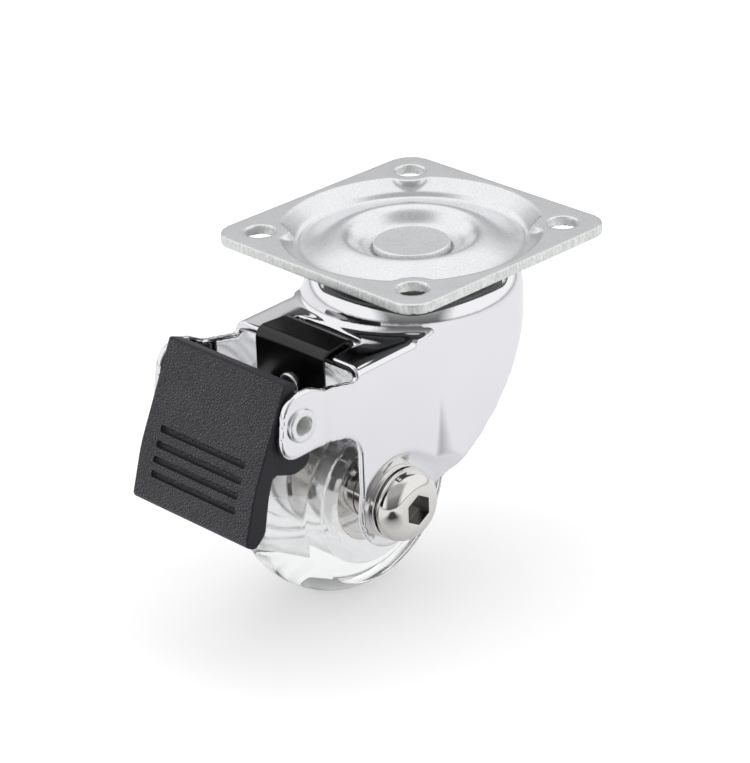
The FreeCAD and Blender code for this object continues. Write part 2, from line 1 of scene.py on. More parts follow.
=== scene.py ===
import math
import bpy
from bpy.props import FloatProperty, FloatVectorProperty, PointerProperty
from mathutils import Matrix, Vector


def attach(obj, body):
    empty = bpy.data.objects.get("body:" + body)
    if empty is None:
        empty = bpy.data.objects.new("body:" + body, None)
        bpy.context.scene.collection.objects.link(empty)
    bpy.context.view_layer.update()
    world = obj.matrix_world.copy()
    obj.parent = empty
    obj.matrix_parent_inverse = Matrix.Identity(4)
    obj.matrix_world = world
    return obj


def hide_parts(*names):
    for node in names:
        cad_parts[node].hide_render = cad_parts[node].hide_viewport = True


bl_info = {
    "name": "Braked castor",
    "version": (1, 0, 0),
    "blender": (4, 5, 0),
    "location": "View3D > Sidebar > Castor",
    "description": "Dresses the packed braked castor with its shapes and finishes",
    "category": "Add Mesh",
}

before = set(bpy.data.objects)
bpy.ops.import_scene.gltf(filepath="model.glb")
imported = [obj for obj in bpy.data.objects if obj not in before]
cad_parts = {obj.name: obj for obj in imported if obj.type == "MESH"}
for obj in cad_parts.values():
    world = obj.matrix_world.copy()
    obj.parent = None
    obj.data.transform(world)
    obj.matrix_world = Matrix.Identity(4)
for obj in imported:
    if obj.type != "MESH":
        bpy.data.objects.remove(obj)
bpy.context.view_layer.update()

MM = 0.001

# Sizes in millimetres, in the part's own frame
sheet = 1.8
plate_t = 2.2
hole_pitch = 45.0
hole_r = 3.2
dome_r = 23.4
dome_top = -6.2
deck_z = -14.8
deck_rise = 0.036
deck_front = 34.7
arm_y = 18.4
waist_r = 15.0
shoulder_r = 2.6
crease_r = 2.0
boss_y = 17.3
boss_r = 9.6
boss_slope = 1.5
ear_y = 19.4
axle_x = 23.8
axle_z = -49.5
wheel_r = 25.0
wheel_half = 11.0
tyre_inner_r = 16.0
pivot_x = 51.7
pivot_z = -20.8
pedal_half = 17.3
ball_ring_r = 15.0
ball_r = 2.23
ball_ring_z = -5.43

ROUND = 192


# Modelling helpers


def nothing_selected():
    if bpy.context.object and bpy.context.object.mode != "OBJECT":
        bpy.ops.object.mode_set(mode="OBJECT")
    bpy.ops.object.select_all(action="DESELECT")


def alone(piece):
    nothing_selected()
    piece.select_set(True)
    bpy.context.view_layer.objects.active = piece


def named(name):
    """Rename the newest piece and put its place into its mesh."""
    piece = bpy.context.object
    piece.name = name
    piece.data.name = name
    alone(piece)
    bpy.ops.object.transform_apply(location=True, rotation=True, scale=True)
    return piece


def pick(piece, kind, test):
    """Leave only the parts of a mesh selected whose middle, in mm, passes the test."""
    alone(piece)
    bpy.ops.object.mode_set(mode="EDIT")
    bpy.ops.mesh.select_mode(type=kind)
    bpy.ops.mesh.select_all(action="DESELECT")
    bpy.ops.object.mode_set(mode="OBJECT")
    mesh = piece.data
    if kind == "FACE":
        for face in mesh.polygons:
            face.select = bool(test(face.center / MM, face.normal))
    elif kind == "EDGE":
        for edge in mesh.edges:
            first, last = (mesh.vertices[index].co / MM for index in edge.vertices)
            edge.select = bool(test((first + last) / 2, last - first))
    else:
        for vertex in mesh.vertices:
            vertex.select = bool(test(vertex.co / MM, vertex.normal))
    bpy.ops.object.mode_set(mode="EDIT")


def done():
    bpy.ops.object.mode_set(mode="OBJECT")


def outline(name, corners, steps=12):
    """Flat face in the XY plane through corners (u, v, radius), each corner rounded."""
    nothing_selected()
    bpy.ops.mesh.primitive_plane_add(size=MM)
    piece = named(name)
    bpy.ops.object.mode_set(mode="EDIT")
    bpy.ops.mesh.select_mode(type="VERT")
    bpy.ops.mesh.select_all(action="SELECT")
    bpy.ops.mesh.merge(type="CENTER")
    u, v, _ = corners[0]
    bpy.ops.transform.translate(value=(u * MM, v * MM, 0))
    for next_u, next_v, _ in corners[1:]:
        step = ((next_u - u) * MM, (next_v - v) * MM, 0)
        bpy.ops.mesh.extrude_region_move(TRANSFORM_OT_translate={"value": step})
        u, v = next_u, next_v
    bpy.ops.mesh.select_all(action="SELECT")
    bpy.ops.mesh.edge_face_add()
    done()
    for index, (u, v, radius) in enumerate(corners):
        if radius <= 0:
            continue
        here = Vector((u, v))
        before = (Vector(corners[index - 1][:2]) - here).normalized()
        after = (Vector(corners[(index + 1) % len(corners)][:2]) - here).normalized()
        reach = radius / math.tan(before.angle(after) / 2)
        pick(piece, "VERT", lambda co, n: (co.xy - here).length < 1e-3)
        bpy.ops.mesh.bevel(
            offset=reach * MM, offset_pct=0, segments=steps, profile=0.5,
            affect="VERTICES", clamp_overlap=False,
        )
        done()
    return piece


def arc(first, middle, last, steps):
    """Points along the arc through three points, less than half a turn."""
    (ax, ay), (bx, by), (cx, cy) = first, middle, last
    scale = 2 * (ax * (by - cy) + bx * (cy - ay) + cx * (ay - by))
    a, b, c = ax ** 2 + ay ** 2, bx ** 2 + by ** 2, cx ** 2 + cy ** 2
    x = (a * (by - cy) + b * (cy - ay) + c * (ay - by)) / scale
    y = (a * (cx - bx) + b * (ax - cx) + c * (bx - ax)) / scale
    start = math.atan2(ay - y, ax - x)
    sweep = (math.atan2(cy - y, cx - x) - start + math.pi) % (2 * math.pi) - math.pi
    radius = math.hypot(ax - x, ay - y)
    turns = [start + sweep * index / steps for index in range(steps + 1)]
    return [(x + radius * math.cos(turn), y + radius * math.sin(turn)) for turn in turns]


def stand_up(piece, low, high):
    """Raise a flat outline from low to high, in mm."""
    alone(piece)
    bpy.ops.object.mode_set(mode="EDIT")
    bpy.ops.mesh.select_all(action="SELECT")
    bpy.ops.transform.translate(value=(0, 0, low * MM))
    bpy.ops.mesh.extrude_region_move(
        TRANSFORM_OT_translate={"value": (0, 0, (high - low) * MM)}
    )
    outwards()
    return piece


def outwards():
    """Weld the mesh being edited and point its faces outwards."""
    bpy.ops.mesh.select_all(action="SELECT")
    bpy.ops.mesh.remove_doubles(threshold=1e-6)
    bpy.ops.mesh.dissolve_degenerate(threshold=1e-7)
    bpy.ops.mesh.normals_make_consistent(inside=False)
    done()


def lay_across(piece):
    """Turn an outline drawn in (X, Z) so that its height runs along Y."""
    alone(piece)
    piece.matrix_world = Matrix.Rotation(math.radians(90), 4, "X") @ piece.matrix_world
    bpy.ops.object.transform_apply(location=True, rotation=True, scale=True)
    return piece


def side_prism(name, corners, low, high, steps=12):
    """Solid from a side outline (x, z, radius), between two heights along Y."""
    piece = stand_up(outline(name, corners, steps), -high, -low)
    return lay_across(piece)


def plan_prism(name, corners, low, high, steps=12):
    return stand_up(outline(name, corners, steps), low, high)


def cylinder(name, radius, low, high, at=(0, 0), steps=ROUND):
    """Cylinder along Z."""
    nothing_selected()
    bpy.ops.mesh.primitive_cylinder_add(
        vertices=steps,
        radius=radius * MM,
        depth=(high - low) * MM,
        location=(at[0] * MM, at[1] * MM, (low + high) / 2 * MM),
    )
    return named(name)


def rod(name, radius, low, high, at=(axle_x, axle_z), steps=96):
    """Cylinder along Y."""
    nothing_selected()
    bpy.ops.mesh.primitive_cylinder_add(
        vertices=steps,
        radius=radius * MM,
        depth=(high - low) * MM,
        location=(at[0] * MM, (low + high) / 2 * MM, at[1] * MM),
        rotation=(math.radians(90), 0, 0),
    )
    return named(name)


def block(name, low, high):
    nothing_selected()
    low, high = Vector(low) * MM, Vector(high) * MM
    bpy.ops.mesh.primitive_cube_add(size=1, location=(low + high) / 2, scale=high - low)
    return named(name)


def ring(name, radius, thick, z):
    nothing_selected()
    bpy.ops.mesh.primitive_torus_add(
        location=(0, 0, z * MM),
        major_segments=ROUND,
        minor_segments=48,
        major_radius=radius * MM,
        minor_radius=thick * MM,
    )
    return named(name)


def turned(name, corners, steps=ROUND, rounding=8):
    """Solid of revolution about Z from corners (radius, height, rounding)."""
    piece = outline(name, corners, rounding)
    alone(piece)
    piece.matrix_world = Matrix.Rotation(math.radians(90), 4, "X")
    bpy.ops.object.transform_apply(location=True, rotation=True, scale=True)
    bpy.ops.object.mode_set(mode="EDIT")
    bpy.ops.mesh.select_all(action="SELECT")
    bpy.ops.mesh.delete(type="ONLY_FACE")
    bpy.ops.mesh.select_all(action="SELECT")
    bpy.ops.mesh.spin(steps=steps, angle=2 * math.pi, center=(0, 0, 0), axis=(0, 0, 1))
    outwards()
    pick(piece, "EDGE", lambda middle, along: middle.xy.length < 1e-4)
    bpy.ops.mesh.delete(type="EDGE")
    outwards()
    return piece


def on_axle(piece, flip=False, at=(axle_x, axle_z)):
    """Lay a solid of revolution on an axis along Y, its height along +Y or -Y."""
    alone(piece)
    turn = Matrix.Rotation(math.radians(90 if flip else -90), 4, "X")
    piece.matrix_world = Matrix.Translation(Vector((at[0], 0, at[1])) * MM) @ turn
    bpy.ops.object.transform_apply(location=True, rotation=True, scale=True)
    return piece


def tilted(piece, at, angle):
    """Turn a piece about a line along Y through (x, z)."""
    alone(piece)
    pivot = Matrix.Translation(Vector((at[0], 0, at[1])) * MM)
    piece.matrix_world = pivot @ Matrix.Rotation(angle, 4, "Y") @ pivot.inverted()
    bpy.ops.object.transform_apply(location=True, rotation=True, scale=True)
    return piece


def far_copy(piece, name):
    """Mirror image of a piece on the other side of the castor."""
    alone(piece)
    bpy.ops.object.duplicate()
    twin = bpy.context.object
    twin.scale = (1, -1, 1)
    twin = named(name)
    bpy.ops.object.mode_set(mode="EDIT")
    outwards()
    return twin


def combine(piece, others, operation):
    """Boolean of a piece with others, which are used up."""
    for other in others:
        alone(piece)
        modifier = piece.modifiers.new("form", "BOOLEAN")
        modifier.operation = operation
        modifier.solver = "EXACT"
        modifier.object = other
        bpy.ops.object.modifier_apply(modifier="form")
        bpy.data.objects.remove(other)
    return piece


def cut(piece, *others):
    return combine(piece, others, "DIFFERENCE")


def add(piece, *others):
    return combine(piece, others, "UNION")


def keep(piece, *others):
    return combine(piece, others, "INTERSECT")


def bevel_edges(piece, test, width, steps):
    pick(piece, "EDGE", test)
    bpy.ops.mesh.bevel(
        offset=width * MM, offset_pct=0, segments=steps, profile=0.5,
        affect="EDGES", clamp_overlap=False, loop_slide=False,
    )
    done()
    return piece


def eased(piece, width, steps=3, angle=35):
    """Round all the sharp edges of a piece."""
    alone(piece)
    modifier = piece.modifiers.new("edges", "BEVEL")
    modifier.width = width * MM
    modifier.segments = steps
    modifier.limit_method = "ANGLE"
    modifier.angle_limit = math.radians(angle)
    modifier.use_clamp_overlap = True
    modifier.miter_outer = "MITER_ARC"
    bpy.ops.object.modifier_apply(modifier="edges")
    return piece


def pressed(piece, voxel, passes):
    """Give a solid the soft edges and blends of pressed or moulded work."""
    alone(piece)
    modifier = piece.modifiers.new("skin", "REMESH")
    modifier.mode = "VOXEL"
    modifier.voxel_size = voxel * MM
    bpy.ops.object.modifier_apply(modifier="skin")
    modifier = piece.modifiers.new("soften", "SMOOTH")
    modifier.factor = 0.5
    modifier.iterations = passes
    bpy.ops.object.modifier_apply(modifier="soften")
    bpy.ops.object.shade_smooth()
    return piece


def crisp(piece, angle=32):
    """Smooth shading that keeps flat faces flat and real edges sharp."""
    alone(piece)
    bpy.ops.object.shade_smooth_by_angle(angle=math.radians(angle))
    modifier = piece.modifiers.new("even", "WEIGHTED_NORMAL")
    modifier.keep_sharp = True
    modifier.weight = 80
    bpy.ops.object.modifier_apply(modifier="even")
    return piece


def settle(piece, finish, slot, body, *nodes):
    """Give a finished piece its finish, its body and the nodes that it stands for."""
    piece.data.materials.clear()
    piece.data.materials.append(finish)
    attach(piece, body)
    if nodes:
        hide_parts(*nodes)
    return piece


def touch_up(piece, finish, test):
    """Give a second finish to the faces of a piece that pass the test."""
    piece.data.materials.append(finish)
    for face in piece.data.polygons:
        if test(face.center / MM, face.normal):
            face.material_index = len(piece.data.materials) - 1


def from_line(middle, x, z):
    """Distance of a point from a line along Y."""
    return math.hypot(middle.x - x, middle.z - z)


def dress(finish, *nodes):
    for node in nodes:
        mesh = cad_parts[node].data
        mesh.materials.clear()
        mesh.materials.append(finish)


# Finishes


class Value:
    """A socket that takes part in sums, so that shader maths reads as an expression."""

    def __init__(self, graph, socket):
        self.graph = graph
        self.socket = socket

    def maths(self, operation, *inputs):
        return self.graph.node(
            "ShaderNodeMath", {"operation": operation}, dict(enumerate(inputs))
        )

    def __add__(self, other):
        return self.maths("ADD", self, other)

    def __sub__(self, other):
        return self.maths("SUBTRACT", self, other)

    def __rsub__(self, other):
        return self.maths("SUBTRACT", other, self)

    def __mul__(self, other):
        return self.maths("MULTIPLY", self, other)

    def __truediv__(self, other):
        return self.maths("DIVIDE", self, other)

    def __pow__(self, other):
        return self.maths("POWER", self, other)

    __radd__ = __add__
    __rmul__ = __mul__


class Graph:
    """Nodes of a material or of the world."""

    def __init__(self, tree):
        self.tree = tree
        self.tree.nodes.clear()

    def node(self, kind, settings=None, inputs=None, out=0):
        node = self.tree.nodes.new(kind)
        for key, value in (settings or {}).items():
            if key == "stops":
                for place, shade in value[2:]:
                    node.color_ramp.elements.new(place)
                for stop, (place, shade) in zip(node.color_ramp.elements, sorted(value)):
                    stop.position = place
                    stop.color = (shade, shade, shade, 1)
            else:
                setattr(node, key, value)
        for key, value in (inputs or {}).items():
            if isinstance(value, Value):
                self.tree.links.new(value.socket, node.inputs[key])
            else:
                node.inputs[key].default_value = value
        return Value(self, node.outputs[out]) if node.outputs else None

    def ramp(self, value, *stops):
        return self.node("ShaderNodeValToRGB", {"stops": list(stops)}, {"Fac": value})

    def axis(self, vector, index):
        return self.node("ShaderNodeSeparateXYZ", inputs={"Vector": vector}, out=index)


class Finish(Graph):
    """A procedural material built round one main shader."""

    def __init__(self, name):
        self.material = bpy.data.materials.new(name)
        self.material.use_nodes = True
        super().__init__(self.material.node_tree)
        self.place = self.node("ShaderNodeTexCoord", out="Object")

    def noise(self, size, detail=3.0, rough=0.55, place=None):
        """Cloudy pattern from 0 to 1 whose spots are about size mm across."""
        inputs = {"Scale": 1 / (size * MM), "Detail": detail, "Roughness": rough}
        inputs["Vector"] = place or self.place
        return self.node("ShaderNodeTexNoise", inputs=inputs)

    def stretched(self, scale, turn=(0, 0, 0)):
        inputs = {"Vector": self.place, "Scale": scale, "Rotation": turn}
        return self.node("ShaderNodeMapping", inputs=inputs)

    def between(self, factor, first, second):
        """Colour between two colours."""
        inputs = {0: factor, 6: (*first, 1), 7: (*second, 1)}
        return self.node("ShaderNodeMix", {"data_type": "RGBA"}, inputs, out=2)

    def bump(self, height, depth, strength=1.0):
        """Relief whose full height is depth mm."""
        inputs = {"Height": height, "Distance": depth * MM, "Strength": strength}
        return self.node("ShaderNodeBump", inputs=inputs)

    def shader(self, **inputs):
        inputs = {key.replace("_", " "): value for key, value in inputs.items()}
        for key in ("Base Color", "Coat Tint", "Specular Tint"):
            if key in inputs and not isinstance(inputs[key], Value):
                inputs[key] = (*inputs[key], 1)
        body = self.node("ShaderNodeBsdfPrincipled", inputs=inputs)
        self.node("ShaderNodeOutputMaterial", inputs={"Surface": body})
        return self.material


def mirror_chrome(tint):
    """Mirror chrome on pressed steel, with a faint draw of the sheet under it."""
    f = Finish("mirror_chrome")
    cloud = f.noise(14.0, 1.0)
    haze = f.noise(0.9, 4.0)
    darker = tuple(part * 0.95 for part in tint)
    colour = f.between(cloud, tint, darker)
    return f.shader(
        Base_Color=colour,
        Metallic=1.0,
        Roughness=0.05 + haze * 0.06,
        Normal=f.bump(cloud, 0.03),
    )


def zinc(name, tint, rough):
    """Satin zinc plating with cloudy spangle, specks and fine rolling marks."""
    f = Finish(name)
    cloud = f.noise(5.0, 4.0, 0.6)
    speck = f.noise(0.4, 3.0, 0.7)
    grain = f.noise(1.0, 2.0, place=f.stretched((0.25, 4.0, 1.0), (0, 0, 0.6)))
    pale = tuple(min(1.0, part * 1.08) for part in tint)
    dull = tuple(part * 0.82 for part in tint)
    sharp_speck = f.ramp(speck, (0.38, 0.0), (0.6, 1.0))
    colour = f.between(cloud * 0.5 + sharp_speck * 0.35 + grain * 0.15, dull, pale)
    return f.shader(
        Base_Color=colour,
        Metallic=1.0,
        Roughness=rough - 0.06 + speck * 0.12 + grain * 0.06,
        Normal=f.bump(cloud * 0.6 + speck * 0.25 + grain * 0.15, 0.07, 0.8),
    )


def sheared_edge(name, tint, depth):
    """Rough torn face of sheet or bar where it was cut; darkened copies of it also serve as painted
    shade.
    """
    f = Finish(name)
    tears = f.noise(0.45, 4.0, 0.7)
    streaks = f.noise(0.7, 3.0, place=f.stretched((1.6, 1.6, 0.35)))
    both = tears * 0.5 + streaks * 0.5
    pale = tuple(min(1.0, part * 1.35) for part in tint)
    return f.shader(
        Base_Color=f.between(f.ramp(both, (0.4, 0.0), (0.62, 1.0)), tint, pale),
        Metallic=0.85,
        Roughness=0.42 + tears * 0.2,
        Normal=f.bump(both, depth, 1.0),
    )


def painted_bore_light(tint):
    """Pale, dull inside of the pivot tube: painted light, so that the bore looks lit."""
    f = Finish("painted_bore_light")
    haze = f.noise(0.8, 3.0)
    return f.shader(
        Base_Color=f.between(haze, tint, tuple(part * 1.2 for part in tint)),
        Metallic=0.1,
        Roughness=0.5 + haze * 0.2,
        Normal=f.bump(haze, 0.02),
    )


def polished_steel(name, tint, rough):
    """Polished nickel-plated steel with faint turning marks."""
    f = Finish(name)
    haze = f.noise(1.2, 4.0)
    darker = tuple(part * 0.92 for part in tint)
    return f.shader(
        Base_Color=f.between(haze, tint, darker),
        Metallic=1.0,
        Roughness=rough + haze * 0.08,
        Normal=f.bump(haze, 0.01),
    )


def ball_steel():
    f = Finish("ball_steel")
    haze = f.noise(1.5, 3.0)
    return f.shader(
        Base_Color=f.between(haze, (0.80, 0.81, 0.83), (0.70, 0.71, 0.73)),
        Metallic=1.0,
        Roughness=0.06 + haze * 0.06,
    )


def clear_plastic(name, tint, rough, bend, clearness):
    """Water-clear plastic with a slight milky haze."""
    f = Finish(name)
    haze = f.noise(6.0, 2.0)
    paler = tuple(min(1.0, part + 0.02) for part in tint)
    return f.shader(
        Base_Color=f.between(haze, tint, paler),
        Roughness=rough + haze * 0.02,
        IOR=bend,
        Transmission_Weight=clearness,
        Normal=f.bump(f.noise(9.0, 1.0), 0.03),
    )


def grained_plastic(tint, grain_size):
    """Black plastic with a leather grain, and painted light and shade on its pebbles."""
    f = Finish("grained_plastic")
    settings = {"feature": "DISTANCE_TO_EDGE"}

    def pebbles(shift):
        moved = {"Vector": f.place, "Location": (0, shift * MM, -shift * MM)}
        place = f.node("ShaderNodeMapping", inputs=moved)
        inputs = {"Vector": place, "Scale": 1 / (grain_size * MM), "Randomness": 1.0}
        cell = f.node("ShaderNodeTexVoronoi", settings, inputs)
        return f.ramp(cell, (0.0, 0.0), (0.3, 1.0)) * 0.7 + f.noise(0.35, 2.0, place=place) * 0.3

    pebble = pebbles(0)
    # Painted light and shade: each pebble is lighter on one side and darker on the other
    lit_side = pebbles(0.08) - pebbles(-0.08)
    cloud = f.ramp(f.noise(9.0, 2.0), (0.3, 0.0), (0.7, 1.0))
    pale = tuple(part * 12.0 for part in tint)
    return f.shader(
        # Base colour: painted shade in the grain's creases, paler tops, and the painted light and shade
        # of each pebble's sides, over a random cloud
        Base_Color=f.between(cloud * 0.12 + pebble * 0.3 + lit_side * 0.75, tint, pale),
        Roughness=0.55 - pebble * 0.12,
        Specular_IOR_Level=0.45,
        Normal=f.bump(pebble, 0.14, 1.0),
    )


def smooth_shaded_plastic(tint):
    """The same plastic where the mould was left smooth, in a darker tone that is painted shade on the
    pedal's sides.
    """
    f = Finish("smooth_shaded_plastic")
    haze = f.noise(0.8, 3.0)
    return f.shader(
        Base_Color=f.between(haze, tint, tuple(part * 1.5 for part in tint)),
        Roughness=0.42 + haze * 0.1,
        Specular_IOR_Level=0.25,
        Normal=f.bump(haze, 0.02),
    )


def glossy_black(tint):
    """Glossy black lacquer on spring steel."""
    f = Finish("glossy_black")
    haze = f.noise(4.0, 2.0)
    return f.shader(
        Base_Color=f.between(haze, tint, tuple(part * 1.4 for part in tint)),
        Roughness=0.20 + haze * 0.05,
        Specular_IOR_Level=0.5,
        Normal=f.bump(haze, 0.01),
    )


def black_rubber():
    f = Finish("black_rubber")
    haze = f.noise(0.5, 4.0)
    return f.shader(
        Base_Color=f.between(haze, (0.016, 0.016, 0.016), (0.035, 0.035, 0.034)),
        Roughness=0.62 + haze * 0.15,
        Normal=f.bump(haze, 0.05),
    )


finishes = {}


def mix_finishes(colours):
    chrome = tuple(colours.chrome)
    plating = tuple(colours.zinc)
    steel = tuple(colours.steel)
    clear = tuple(colours.clear)
    edge = tuple(colours.edge)
    pedal = tuple(colours.pedal)
    finishes["chrome"] = mirror_chrome(chrome)
    finishes["zinc_plate"] = zinc("zinc_plate", plating, 0.22)
    finishes["zinc_pin"] = zinc("zinc_pin", plating, 0.26)
    finishes["sheared_edge"] = sheared_edge("sheared_edge", edge, 0.12)
    # Painted shade: a darkened copy of the cut-edge finish for the gap round the kingpin's head
    finishes["painted_gap_shade"] = sheared_edge("painted_gap_shade", tuple(part * 0.42 for part in edge), 0.03)
    # Painted shade: a near-black copy of the cut-edge finish for the plate's underside, which lies in
    # shade
    finishes["painted_underside_shade"] = sheared_edge("painted_underside_shade", tuple(part * 0.13 for part in edge), 0.01)
    finishes["painted_bore_light"] = painted_bore_light(edge)
    finishes["polished_steel"] = polished_steel("polished_steel", steel, 0.04)
    # Darker steel for the hex socket, and painted shade for the neck under the head
    finishes["darkened_steel"] = polished_steel("darkened_steel", tuple(part * 0.5 for part in steel), 0.12)
    finishes["ball_steel"] = ball_steel()
    finishes["clear_tyre"] = clear_plastic("clear_tyre", clear, 0.0, 1.22, 0.97)
    finishes["clear_core"] = clear_plastic("clear_core", clear, 0.12, 1.18, 0.90)
    finishes["black_plastic"] = grained_plastic(pedal, colours.grain_mm)
    finishes["smooth_shaded_plastic"] = smooth_shaded_plastic(tuple(colours.pedal_shaded_side))
    finishes["black_steel"] = glossy_black(tuple(colours.band))
    finishes["black_rubber"] = black_rubber()


# Pieces


def make_plate():
    """Square plate with its pressed dish, from the same profile as the solid."""
    half = 30.0
    corners = [(sx * half, sy * half, 5.5) for sx, sy in ((-1, -1), (1, -1), (1, 1), (-1, 1))]
    slab = plan_prism("top_plate_form", corners, -plate_t, 0, 16)
    crest, foot, floor, ledge = 15.0, 22.8, 9.9, 23.9

    def height(r):
        if r > crest:
            share = (r - crest) / (foot - crest)
            return -1.0 - 1.8 * (1 - math.cos(math.pi * share)) / 2 - 0.45 * share ** 2
        share = (crest - r) / (crest - floor)
        return -1.0 - 3.6 * (1 - math.cos(math.pi * share)) / 2

    def profile(shift):
        points = [(0, height(floor) + shift, 0)]
        steps = 30
        for index in range(steps + 1):
            r = floor + (foot - floor) * index / steps
            points.append((r, height(r) + shift, 0))
        points.append((ledge, height(foot) + shift, 0))
        points.append((24.6, -2.2 + shift, 0))
        points.append((27.9, shift, 0))
        return points

    hollow = turned("hollow", profile(0) + [(27.9, 3, 0), (0, 3, 0)])
    for sx in (-1, 1):
        for sy in (-1, 1):
            nothing_selected()
            bpy.ops.mesh.primitive_cone_add(
                vertices=96,
                radius1=8.6 * MM,
                radius2=5.9 * MM,
                depth=6 * MM,
                location=(sx * hole_pitch / 2 * MM, sy * hole_pitch / 2 * MM, -3 * MM),
            )
            hollow = cut(hollow, named("boss"))
    pan = turned("pan", profile(-plate_t) + [(27.9, 0, 0), (0, 0, 0)])
    plate = cut(add(slab, pan), hollow)
    for sx in (-1, 1):
        for sy in (-1, 1):
            at = (sx * hole_pitch / 2, sy * hole_pitch / 2)
            plate = cut(plate, cylinder("hole", hole_r, -12, 4, at, 96))
    plate = cut(plate, cylinder("pin_hole", 5.02, -12, 4), ring("race", ball_ring_r, ball_r, ball_ring_z))
    plate.name = "plate"
    return pressed(plate, 0.34, 6)


def make_fork():
    """Pressed fork: round head, deck, arms with their landings, ears, slot and holes."""

    def arms(name, radius, half, blend, shoulder, top, front):
        centre = Vector((math.sqrt((radius + blend) ** 2 - (half + blend) ** 2), half + blend))
        touch = centre * radius / (radius + blend)
        corner_x = (radius * (radius + blend) - half * centre.y) / centre.x
        corners = [(front, -half, 0), (front, half, 0), (corner_x, half, blend)]
        corners += [(touch.x, touch.y, 0), (0, 0, 0), (touch.x, -touch.y, 0)]
        corners.append((corner_x, -half, blend))
        piece = plan_prism(name, corners, -66, top, 32)

        def along_shoulder(middle, along):
            flank = abs(middle.y) > half - 0.01 and abs(along.x) > 0.01
            return middle.z > top - 0.01 and abs(along.z) < 0.01 and flank

        piece = bevel_edges(piece, along_shoulder, shoulder, 14)
        return tilted(piece, (deck_front, top), math.atan(deck_rise))

    def crease():
        """Hollow blend between the foot of the head and the deck."""
        sink = 0.06
        foot = deck_z + (deck_front - dome_r) * deck_rise - sink
        high, outer, inner = foot + crease_r, dome_r + crease_r - sink, dome_r - sheet
        half_way = crease_r * math.sqrt(0.5)
        bend_start, bend_end = (outer, foot), (outer - crease_r, high)
        bend = arc(bend_start, (outer - half_way, high - half_way), bend_end, 10)
        corners = [(inner, foot - crease_r, 0), (outer, foot - crease_r, 0)]
        corners += [(r, z, 0) for r, z in bend] + [(inner, high, 0)]
        ridge = turned("crease", corners)
        half = arm_y - sink / 3
        raised = arms("raised", dome_r, half, waist_r, shoulder_r, deck_z + crease_r, 70)
        return keep(ridge, raised)

    def head(name, radius, top, shoulder):
        piece = cylinder(name, radius, -64, top)
        return bevel_edges(piece, lambda m, a: m.z > top - 0.01 and abs(a.z) < 0.01, shoulder, 28)

    def landing(name, flat_y, rounding, flip):
        corners = [
            (0, flat_y, 0),
            (boss_r, flat_y, rounding),
            (boss_r + 8 * boss_slope, flat_y + 8, 0),
            (0, flat_y + 8, 0),
        ]
        return on_axle(turned(name, corners, 96, 12), flip)

    def landings(flat_y, rounding):
        return [landing("landing", flat_y, rounding, flip) for flip in (False, True)]

    inner = sheet
    shell = arms("fork", dome_r, arm_y, waist_r, shoulder_r, deck_z, 70)
    shell = add(shell, head("head", dome_r, dome_top, 7.0), crease())
    shell = cut(shell, *landings(boss_y, 5.0))
    room = arms(
        "room", dome_r - inner, arm_y - inner, waist_r + inner, shoulder_r - inner,
        deck_z - inner, 80,
    )
    room = add(room, head("room_head", dome_r - inner, dome_top - inner, 7.0 - inner))
    room = cut(room, *landings(boss_y - inner, 5.0 + inner))
    shell = cut(shell, room)
    shell = keep(shell, block("clip", (-40, -40, -63), (deck_front, 40, 10)))
    ear_plan = [
        (deck_front, arm_y - inner, 0),
        (43.0, arm_y - inner, 3.0),
        (46.0, ear_y - inner, 4.8),
        (62.0, ear_y - inner, 0),
        (62.0, ear_y, 0),
        (45.5, ear_y, 3.0),
        (42.5, arm_y, 4.8),
        (deck_front, arm_y, 0),
    ]
    ear = plan_prism("ear", ear_plan, -40, -6)
    shell = add(shell, far_copy(ear, "far_ear"), ear)
    side = [
        (-40, 8, 0),
        (-40, -17.5, 0),
        (-16.6, -17.5, 5),
        (13.4, -50.0, 2.5),
        (15.2, -59.3, 7.6),
        (34.3, -59.3, 9.3),
        (34.3, -30.2, 5.5),
        (47.0, -27.6, 9.0),
        (58.0, -28.1, 4.2),
        (55.5, -14.0, 5.0),
        (47.9, -14.0, 4.0),
        (44.2, -15.9, 4.0),
        (deck_front, -17.7, 0.7),
        (deck_front, 8, 0),
    ]
    shell = keep(shell, side_prism("side", side, -40, 40))
    under = ring("under", ball_ring_r, ball_r + 0.03 + inner, ball_ring_z)
    under = keep(under, cylinder("under_top", dome_r - 1, -20, dome_top - 0.2))
    shell = add(shell, under, cylinder("middle", ball_ring_r, -9.7, -7.9))
    shell = cut(shell, cylinder("recess", 12.8, -7.9, 0))
    shell = cut(shell, ring("groove", ball_ring_r, ball_r + 0.03, ball_ring_z))
    shell = cut(shell, cylinder("shaft_hole", 6.9, -20, 0))
    slot = block("slot", (24.8, -9.8, -18), (28.8, 9.8, -12))
    slot = bevel_edges(slot, lambda m, a: abs(a.z) > 1, 1.2, 6)
    shell = cut(shell, slot, rod("axle_hole", 4.03, -30, 30))
    shell = cut(shell, rod("pivot_hole", 2.4, -30, 30, (pivot_x, pivot_z)))
    shell = pressed(shell, 0.425, 5)

    def in_crease(middle, normal):
        near = 22.8 < middle.xy.length < 26.4 and middle.x > 8 and abs(middle.y) < arm_y - 0.6
        return near and abs(middle.z - deck_z - 0.9) < 2.4 and normal.z > 0.1

    pick(shell, "VERT", in_crease)
    bpy.ops.mesh.vertices_smooth(factor=0.5, repeat=6)
    done()
    return shell


def make_kingpin():
    corners = [
        (0, -3.1, 0),
        (8.2, -3.1, 0.5),
        (8.2, -4.6, 0),
        (5.0, -4.6, 0),
        (5.0, -15.72, 0),
        (6.6, -15.72, 0.3),
        (6.6, -17.22, 0.7),
        (0, -17.22, 0),
    ]
    return crisp(turned("kingpin_turned", corners))


